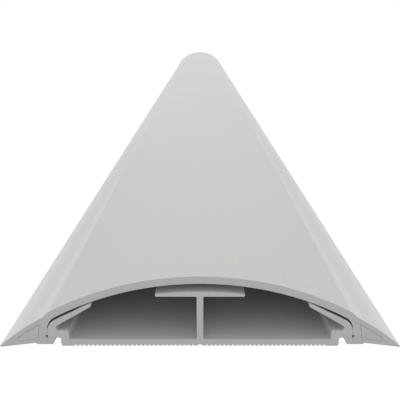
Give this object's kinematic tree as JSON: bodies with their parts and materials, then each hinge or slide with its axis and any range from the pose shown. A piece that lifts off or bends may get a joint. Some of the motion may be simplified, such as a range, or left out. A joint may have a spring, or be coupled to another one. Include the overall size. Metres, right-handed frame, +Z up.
{
  "type": "floor cord cover",
  "caption": "Low arched floor cord cover of light grey plastic: flat two-channel base with a centre divider and a clip-on cover with sloping edges.",
  "frame": {"origin": "middle of the underside, on the floor, halfway along the length", "axes": "+Y along the length, away from the end that the picture shows; +Z up out of the floor; +X across the width"},
  "size_m": [0.075, 1, 0.0147],
  "materials": {
    "base_plastic": "light grey rigid plastic, as extruded",
    "cover_plastic": "light grey rigid plastic, satin",
    "core_plastic": "light grey plastic, matt"
  },
  "bodies": {
    "root": {"base": "base_plastic", "cover": "cover_plastic", "skirt_core_left": "core_plastic", "skirt_core_right": "core_plastic"}
  },
  "joints": []
}
